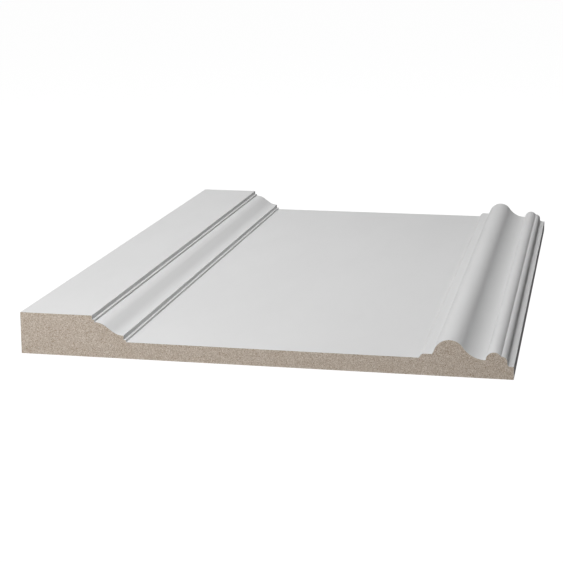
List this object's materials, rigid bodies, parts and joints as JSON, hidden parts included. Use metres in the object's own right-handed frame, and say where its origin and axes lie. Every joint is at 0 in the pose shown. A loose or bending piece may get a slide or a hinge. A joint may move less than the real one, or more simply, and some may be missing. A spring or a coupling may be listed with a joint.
{
  "type": "skirting board",
  "caption": "Short length of tall painted fibreboard skirting: flat plinth, stepped ogee, wide flat field, torus, bead and thumb along the top edge, both ends cut square.",
  "frame": {"origin": "middle of the flat back, halfway up the board's height and halfway along its run", "axes": "+Z out of the moulded face, +X up the board's height from its bottom edge to its top edge, +Y along the run"},
  "size_m": [0.254, 0.39, 0.022],
  "materials": {
    "white_primer": "smooth matt white primer, sprayed on the moulded face and both long edges",
    "raw_mdf": "bare sawn medium-density fibreboard on the two cut ends and the back"
  },
  "bodies": {
    "root": {"skirting_board": "white_primer"}
  },
  "joints": []
}
